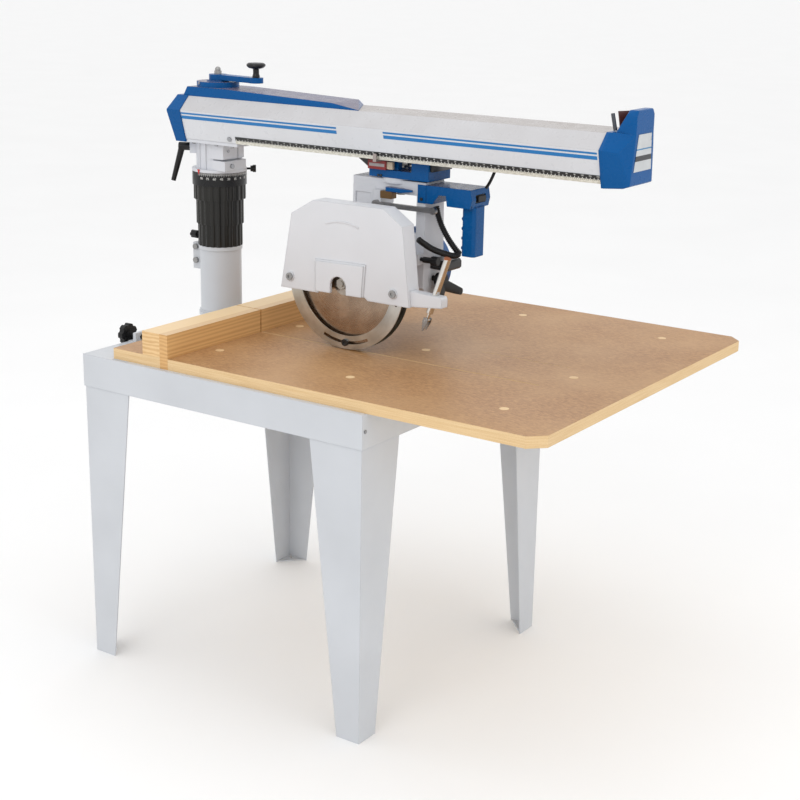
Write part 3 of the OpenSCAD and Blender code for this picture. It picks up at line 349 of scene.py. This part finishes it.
def protractor_black():
    """Black ring with white marks each degree, longer ones each five, on its front."""
    mat = Material("protractor_black")
    x, y, z = mat.xyz()
    radius, angle = mat.polar(x, y, COLUMN_X, COLUMN_Y)
    degrees = mat.calc("MULTIPLY", angle, 57.29578)
    rim = mat.over(radius, 0.0733)
    # the leads keep the angle positive
    one = mat.product(mat.ticks(degrees, lead=400.125, width=0.25),
                      mat.over(z, TABLE_TOP + 0.3665))
    five = mat.product(mat.ticks(degrees, lead=400.2, width=0.085, per_unit=0.2),
                       mat.over(z, TABLE_TOP + 0.3635))
    from_front = mat.calc("WRAP", mat.calc("ADD", degrees, 90.0), 180.0, -180.0)
    arc = mat.under(mat.calc("ABSOLUTE", mat.calc("SUBTRACT", from_front, 0.0)), 100.0)
    marks = mat.product(mat.calc("MAXIMUM", one, five), rim, arc,
                        mat.under(z, TABLE_TOP + 0.3722))
    mat.surface(Base_Color=mat.mix(marks, (0.008, 0.008, 0.009), (0.8, 0.8, 0.78)),
                Roughness=mat.remap(mat.noise(30), to=(0.22, 0.33)),
                Metallic=0.0, Coat_Weight=0.04, Specular_IOR_Level=0.3)
    return mat.bump(mat.noise(900.0), strength=0.08, depth=0.0002, edge=0.0012)


def rule_strips():
    """Black upper strip marked each centimetre, silver lower strip each half."""
    mat = Material("rule_strips")
    _, y, z = mat.xyz()
    upper = mat.over(z, TABLE_TOP + 0.470)
    whole = mat.ticks(y, lead=10.0008, width=0.16, per_unit=100.0)
    half = mat.ticks(y, lead=10.0004, width=0.16, per_unit=200.0)
    black_strip = mat.mix(mat.product(whole, mat.under(z, TABLE_TOP + 0.4732)),
                          grey(0.012), (0.80, 0.80, 0.77))
    blotches = mat.noise(stretch=(0, 95, 420))
    silver = mat.fade(blotches, (0.60, 0.58, 0.50), (0.80, 0.785, 0.71), span=(0.42, 0.62))
    silver = mat.mix(mat.product(half, mat.over(z, TABLE_TOP + 0.4668)), silver,
                     (0.10, 0.10, 0.09))
    lower = mat.calc("SUBTRACT", 1.0, upper)
    mat.surface(Base_Color=mat.mix(upper, silver, black_strip),
                Metallic=mat.calc("MULTIPLY", lower, 0.35),
                Roughness=mat.remap(blotches, to=(0.3, 0.45)))
    return mat.bump(blotches, strength=0.25, depth=0.0004, edge=0.0006)


def front_fittings():
    above = ARM_TOP + 0.0015
    return patched("front_fittings", (0.60, 0.62, 0.63), [
        patch((0.085, 0.022, 0.018), rough=0.4, z_over=above, x_over=0.1036),
        patch((0.10, 0.105, 0.12), rough=0.2, metallic=0.8, z_over=above, x_under=0.1036),
        patch((0.03, 0.032, 0.035), rough=0.4,
              z_under=ARM_TOP - 0.05, z_over=ARM_TOP - 0.062, y_under=-0.8),
        patch((0.02, 0.20, 0.42), rough=0.4,
              z_under=ARM_TOP - 0.034, z_over=ARM_TOP - 0.037, y_under=-0.8),
    ], rough=0.3, metallic=0.25)


def head_fittings():
    return patched("head_fittings", (0.38, 0.385, 0.40), [
        patch((0.62, 0.015, 0.01), rough=0.4, z_under=TABLE_TOP + 0.3815),
    ], rough=0.3, metallic=0.9)


def yoke_fittings():
    return patched("yoke_fittings", (0.40, 0.39, 0.37), [
        patch((0.20, 0.115, 0.05), rough=0.42, metallic=0.75, x_under=0.0982),
        patch((0.014, 0.014, 0.015), rough=0.38, y_under=-0.215),
    ], rough=0.3, metallic=0.95)


def carriage_fittings():
    side = 0.0903           # the first three patches lie on the -X side of this x
    low = CARRIAGE_BASE + 0.0195
    return patched("carriage_fittings", (0.015, 0.015, 0.016), [
        patch((0.25, 0.012, 0.012), rough=0.35,
              x_under=side, z_over=low, y_over=-0.1422, y_under=-0.0875),
        patch((0.36, 0.33, 0.33), rough=0.4, x_under=side, z_over=CARRIAGE_BASE + 0.027,
              z_under=CARRIAGE_BASE + 0.0345, y_over=-0.138, y_under=-0.092),
        patch((0.55, 0.46, 0.35), rough=0.4, metallic=0.2,
              x_under=side, z_over=low, y_under=-0.1424),
        patch((0.42, 0.36, 0.34), rough=0.28, metallic=0.8, x_under=0.0863,
              z_over=CARRIAGE_BASE + 0.0421, y_over=-0.1345, y_under=-0.1235),
        patch(grey(0.55), rough=0.3, metallic=1.0, z_over=CARRIAGE_BASE + 0.09),
    ], rough=0.4)


def kickback_rod():
    """Bright rod with a rusty-red top end."""
    return patched("kickback_rod", (0.72, 0.70, 0.66), [
        patch((0.42, 0.13, 0.04), rough=0.35, metallic=0.2,
              z_over=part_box("antikick_rod")[1].z - 0.0062),
    ], rough=0.16, metallic=1.0, strength=0.05)


# ------------------------------------------------------------------ finish of each part
BLUE = (0.0, 0.083, 0.278)
FINE_BLUE = dict(rough=0.28, edge=0.0030, peel=0.05, coat=0.02, vary=0.08, spec=0.15)
black = plastic("black_plastic", (0.008, 0.008, 0.0085), rough=0.34)
black_gloss = plastic("black_gloss", (0.010, 0.010, 0.0105), rough=0.16, strength=0.08)
steel = metal("plain_steel", (0.36, 0.355, 0.35), rough=0.26)

FINISHES = [                                 # material, the parts that wear it
    (painted("powder_coat", (0.570, 0.590, 0.622), rough=0.36, edge=0.0018),
     "legs steel_frame fence_clamp_brackets column_base column_sleeve"),
    # the arm's upward faces get a painted sky tone
    (painted("arm_coat", (0.665, 0.68, 0.712), rough=0.30, edge=0.0025, peel=0.04,
             coat=0.05, sky_tone=(0.27, 0.225, 0.20), amount=0.9), "arm_beam"),
    (painted("guard_coat", (0.665, 0.675, 0.705), rough=0.33, edge=0.0045, peel=0.06,
             coat=0.10), "blade_guard"),
    (painted("cast_coat", (0.645, 0.66, 0.70), rough=0.38, edge=0.0030, peel=0.30,
             vary=0.07), "yoke head_casting"),
    # painted sky tone on the upward faces of these blue parts
    (painted("blue_coat", BLUE, rough=0.26, edge=0.0022, peel=0.07, coat=0.03, vary=0.08,
             sky_tone=(0.17, 0.15, 0.20), amount=0.6, spec=0.16),
     "carriage_body handle_bracket swivel_index_lever"),
    (painted("blue_coat_fine", BLUE, **FINE_BLUE), "rear_cap front_cap crank_arm"),
    # painted sky tone on the cover's upward faces
    (painted("blue_cover_coat", BLUE, sky_tone=(0.20, 0.145, 0.155), amount=0.8, **FINE_BLUE),
     "top_cover"),
    (painted("blue_stripe", (0.006, 0.17, 0.46), rough=0.38, edge=0.0, peel=0.05),
     "arm_stripes"),
    (shroud_plastic(), "lower_shroud middle_shroud upper_shroud"),
    (black_gloss, "crank_knob"),
    (black, "fence_clamp_left bevel_index_knob sleeve_lock_knob arm_clamp_lever "
            "mitre_index_pin trigger_switch bevel_handle cable_hose"),
    (protractor_black(), "protractor_ring"),
    (rule_strips(), "scale_strips"),
    (hardboard(), "table_board rear_board"),
    (pine("beech_plug", (0.78, 0.56, 0.31), (0.60, 0.38, 0.18), seed=7.1, top_light=False),
     "table_plugs"),
    (pine("pine_fence", (0.70, 0.415, 0.165), (0.52, 0.27, 0.09)), "fence_strip"),
    (pine("pine_spacer", (0.79, 0.535, 0.265), (0.58, 0.33, 0.125), seed=3.3),
     "fence_spacers"),
    (metal("bronze_nut", (0.62, 0.42, 0.17), rough=0.32), "elevating_nut"),
    (metal("ground_column", grey(0.72), rough=0.14, stretch=(10, 10, 900)), "inner_column"),
    (motor_paint(), "motor_housing"),
    (motor_winding(), "motor_internals"),
    (turned("blade_steel", (0.50, 0.385, 0.29), rough=0.25, strength=0.25,
            tint=(0.26, 0.165, 0.105)), "saw_blade"),
    (turned("arbor_steel", (0.50, 0.46, 0.41), rough=0.28, strength=0.15), "saw_arbor"),
    (turned("ring_steel", (0.66, 0.655, 0.62), rough=0.30, strength=0.10,
            black_below=BLADE_X - 0.0142), "lower_guard_outer"),
    (turned("ring_steel_inner", (0.33, 0.35, 0.33), rough=0.35, strength=0.10),
     "lower_guard_inner"),
    (front_fittings(), "front_fittings"),
    (head_fittings(), "head_fittings"),
    (yoke_fittings(), "yoke_fittings"),
    (carriage_fittings(), "carriage_fittings"),
    (kickback_rod(), "antikick_rod"),
]
finish_of = {part: mat for mat, parts in FINISHES for part in parts.split()}
for part, part_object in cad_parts.items():
    part_object.data.materials.clear()
    part_object.data.materials.append(finish_of.get(part, steel).data)


# ------------------------------------------------------------------ object helpers
def link_object(name, data):
    made = bpy.data.objects.new(name, data)
    scene.collection.objects.link(made)
    return made


def mesh_object(name, bm, mat):
    mesh = bpy.data.meshes.new(name)
    bm.to_mesh(mesh)
    bm.free()
    mesh.materials.append(mat.data)
    return link_object(name, mesh)


def add_piece(name, bm, mat, body, smooth=True):
    bm.normal_update()
    made = mesh_object(name, bm, mat)
    if smooth:
        for face in made.data.polygons:
            face.use_smooth = True
    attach(made, body)
    return made


def placement(right, up, out, origin):
    return Matrix((*zip(right, up, out, origin), (0, 0, 0, 1)))


# ------------------------------------------------------------------ hose and cord
def catmull(points, per_span):
    """Catmull-Rom curve through the points."""
    ends = [Vector(point) for point in points]
    ends = [ends[0] * 2 - ends[1]] + ends + [ends[-1] * 2 - ends[-2]]
    curve = []
    for a, b, c, d in zip(ends, ends[1:], ends[2:], ends[3:]):
        for k in range(per_span):
            t = k / per_span
            curve.append(0.5 * ((2 * b) + (c - a) * t + (2 * a - 5 * b + 4 * c - d) * t * t
                                + (3 * b - a - 3 * c + d) * t ** 3))
    curve.append(ends[-2].copy())
    return curve


def even(path, step):
    """The path again, with points evenly spaced at about step."""
    reach = [0.0]                            # distance along the path to each point
    for a, b in zip(path, path[1:]):
        reach.append(reach[-1] + (b - a).length)
    count = max(2, int(reach[-1] / step))
    spaced, j = [], 0
    for i in range(count + 1):
        target = reach[-1] * i / count
        while j < len(reach) - 2 and reach[j + 1] < target:
            j += 1
        share = (target - reach[j]) / max(1e-9, reach[j + 1] - reach[j])
        spaced.append(path[j].lerp(path[j + 1], min(1, share)))
    return spaced


def tube(path, radius, segments):
    """A tube with closed ends; radius(i) gives the radius at point i."""
    bm = bmesh.new()
    rings = []
    side = None
    for i, point in enumerate(path):
        along = (path[min(len(path) - 1, i + 1)] - path[max(0, i - 1)]).normalized()
        if side is None:
            side = along.orthogonal().normalized()
        side = (side - along * side.dot(along)).normalized()
        across = along.cross(side)
        ring = []
        for k in range(segments):
            a = 2 * math.pi * k / segments
            spoke = side * math.cos(a) + across * math.sin(a)
            ring.append(bm.verts.new(point + spoke * radius(i)))
        rings.append(ring)
    for a, b in zip(rings, rings[1:]):
        for k in range(segments):
            after = (k + 1) % segments
            bm.faces.new((a[k], a[after], b[after], b[k]))
    bm.faces.new(list(reversed(rings[0])))
    bm.faces.new(rings[-1])
    return bm


LINE_BASE = TABLE_TOP + 0.410                # height that the z below is measured from
HOSE_POINTS = [                              # x, y, z above LINE_BASE
    (0.128, -0.262, -0.060), (0.133, -0.266, -0.085), (0.140, -0.274, -0.113),
    (0.1535, -0.286, -0.145), (0.1695, -0.298, -0.172), (0.176, -0.301, -0.181),
    (0.1535, -0.300, -0.183), (0.124, -0.292, -0.174), (0.085, -0.284, -0.159),
    (0.051, -0.276, -0.139), (0.037, -0.272, -0.129)]
CORD_POINTS = [                              # x, y, z above LINE_BASE
    (0.146, -0.392, -0.004), (0.153, -0.396, 0.006), (0.160, -0.400, 0.020),
    (0.165, -0.404, 0.035)]
HOSE_RADIUS, RIB_HEIGHT, RIB_PITCH = 0.0070, 0.0010, 0.0054
HOSE_STEP = 0.00075
CORD_RADIUS, CORD_STEP = 0.0038, 0.002


def raised(points):
    return [(x, y, LINE_BASE + z) for x, y, z in points]


def hose_radius(i):
    """Square-shouldered ribs: the tanh flattens a sine."""
    return HOSE_RADIUS + RIB_HEIGHT * math.tanh(
        2 * math.sin(i * HOSE_STEP / RIB_PITCH * 2 * math.pi))


hose_path = even(catmull(raised(HOSE_POINTS), per_span=14), HOSE_STEP)
hose = add_piece("ribbed_hose", tube(hose_path, hose_radius, segments=20), black_gloss,
                 "yoke")
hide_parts("cable_hose")
cord_path = even(catmull(raised(CORD_POINTS), per_span=8), CORD_STEP)
add_piece("supply_cord", tube(cord_path, lambda i: CORD_RADIUS, segments=16), black,
          "yoke")


# ------------------------------------------------------------------ numbers
def add_text(bm, text, size, place):
    curve = bpy.data.curves.new("t", "FONT")
    curve.body = text
    curve.size = size
    curve.extrude = 0.00008
    curve.resolution_u = 3
    curve.align_x = "CENTER"
    curve.align_y = "CENTER"
    holder = link_object("t", curve)
    graph = bpy.context.evaluated_depsgraph_get()
    mesh = bpy.data.meshes.new_from_object(holder.evaluated_get(graph))
    mesh.transform(place)
    bm.from_mesh(mesh)
    bpy.data.objects.remove(holder)
    bpy.data.curves.remove(curve)
    bpy.data.meshes.remove(mesh)


def protractor_numbers():
    """Degrees either side of the front, round the ring."""
    radius, height = 0.0740, TABLE_TOP + 0.3575
    bm = bmesh.new()
    for degrees in range(-180, 1, 15):
        a = math.radians(degrees)
        out = (math.cos(a), math.sin(a), 0)
        origin = (COLUMN_X + radius * out[0], COLUMN_Y + radius * out[1], height)
        right = (-math.sin(a), math.cos(a), 0)
        add_text(bm, str(abs(degrees + 90)), 0.0088, placement(right, (0, 0, 1), out, origin))
    return bm


def rule_numbers():
    """Even centimetres along both sloping flanks of the arm."""
    run, rise = 0.0215, 0.077                # slope of the flank
    flank_x, flank_height = 0.0385, 0.538    # a point on the -X flank
    height = 0.4768                          # of the numbers, above the table
    stand_off = 0.0012
    zero_y = 0.30
    slant = math.hypot(run, rise)
    left_x = flank_x + (flank_height - height) * run / rise - stand_off
    bm = bmesh.new()
    for centimetres in range(2, 105, 2):
        y = zero_y - centimetres / 100
        for side, x in ((-1, left_x), (1, 2 * ARM_X - left_x)):
            out = (side * rise / slant, 0, -run / slant)
            up = (side * run / slant, 0, rise / slant)
            add_text(bm, str(centimetres), 0.0052,
                     placement((0, side, 0), up, out, (x, y, TABLE_TOP + height)))
    return bm


marking = painted("white_marking", (0.80, 0.80, 0.77), rough=0.5, edge=0.0, peel=0.05)
add_piece("protractor_numbers", protractor_numbers(), marking, "riser",
          smooth=False)
add_piece("rule_numbers", rule_numbers(), marking, "arm", smooth=False)


# ------------------------------------------------------------------ stage
def studio_floor():
    mat = Material("studio_floor")
    cloud = mat.noise(1.5, detail=3)
    mat.surface(Base_Color=mat.fade(cloud, (0.925, 0.925, 0.926), (0.94, 0.94, 0.941)),
                Roughness=mat.remap(cloud, to=(0.55, 0.62)), Specular_IOR_Level=0.2)
    return mat.bump(mat.noise(200), strength=0.02, depth=0.0005)


floor_mesh = bmesh.new()
bmesh.ops.create_grid(floor_mesh, x_segments=2, y_segments=2, size=200)
mesh_object("floor", floor_mesh, studio_floor())

scene.world = bpy.data.worlds.new("studio")
scene.world.use_nodes = True
background = scene.world.node_tree.nodes["Background"]
background.inputs["Color"].default_value = (1.0, 1.0, 1.0, 1)
background.inputs["Strength"].default_value = 1.0

LIGHTS = [                                   # name, place, target, width and height, watts
    ("key", (-4.2, -0.6, 3.6), (0, -0.1, 0.9), (2.4, 2.4), 34),
    ("front", (-0.6, -4.6, 2.6), (0.1, 0, 0.9), (2.2, 1.8), 14),
    ("top", (0.4, 0.2, 4.4), (0.1, -0.1, 0.8), (3.0, 3.0), 14),
]
for name, place, target, size, watts in LIGHTS:
    light = bpy.data.lights.new(name, "AREA")
    light.shape = "RECTANGLE"
    light.size, light.size_y = size
    light.energy = watts
    lamp = link_object(name, light)
    lamp.location = place
    lamp.rotation_mode = "QUATERNION"
    lamp.rotation_quaternion = (Vector(target) - Vector(place)).to_track_quat("-Z", "Y")


def add_camera(place, heading, elevation, roll, lens):
    """Angles in degrees; lens in millimetres on a 36 mm sensor."""
    heading, elevation, roll = map(math.radians, (heading, elevation, roll))
    back = Vector((math.sin(heading) * math.cos(elevation),
                   -math.cos(heading) * math.cos(elevation), math.sin(elevation)))
    level = Vector((math.cos(heading), math.sin(heading), 0))
    upright = level.cross(-back)
    right = level * math.cos(roll) + upright * math.sin(roll)
    up = upright * math.cos(roll) - level * math.sin(roll)
    data = bpy.data.cameras.new("camera")
    data.sensor_width = 36
    data.lens = lens
    data.clip_start, data.clip_end = 0.1, 500
    scene.camera = link_object("camera", data)
    scene.camera.matrix_world = placement(right, up, back, place)


add_camera((-3.0455, -2.3173, 1.8055), heading=-55.838, elevation=16.454, roll=1.028,
           lens=69.0957)
scene.view_settings.view_transform = "Standard"
scene.view_settings.look = "None"
scene.view_settings.exposure = 0.0
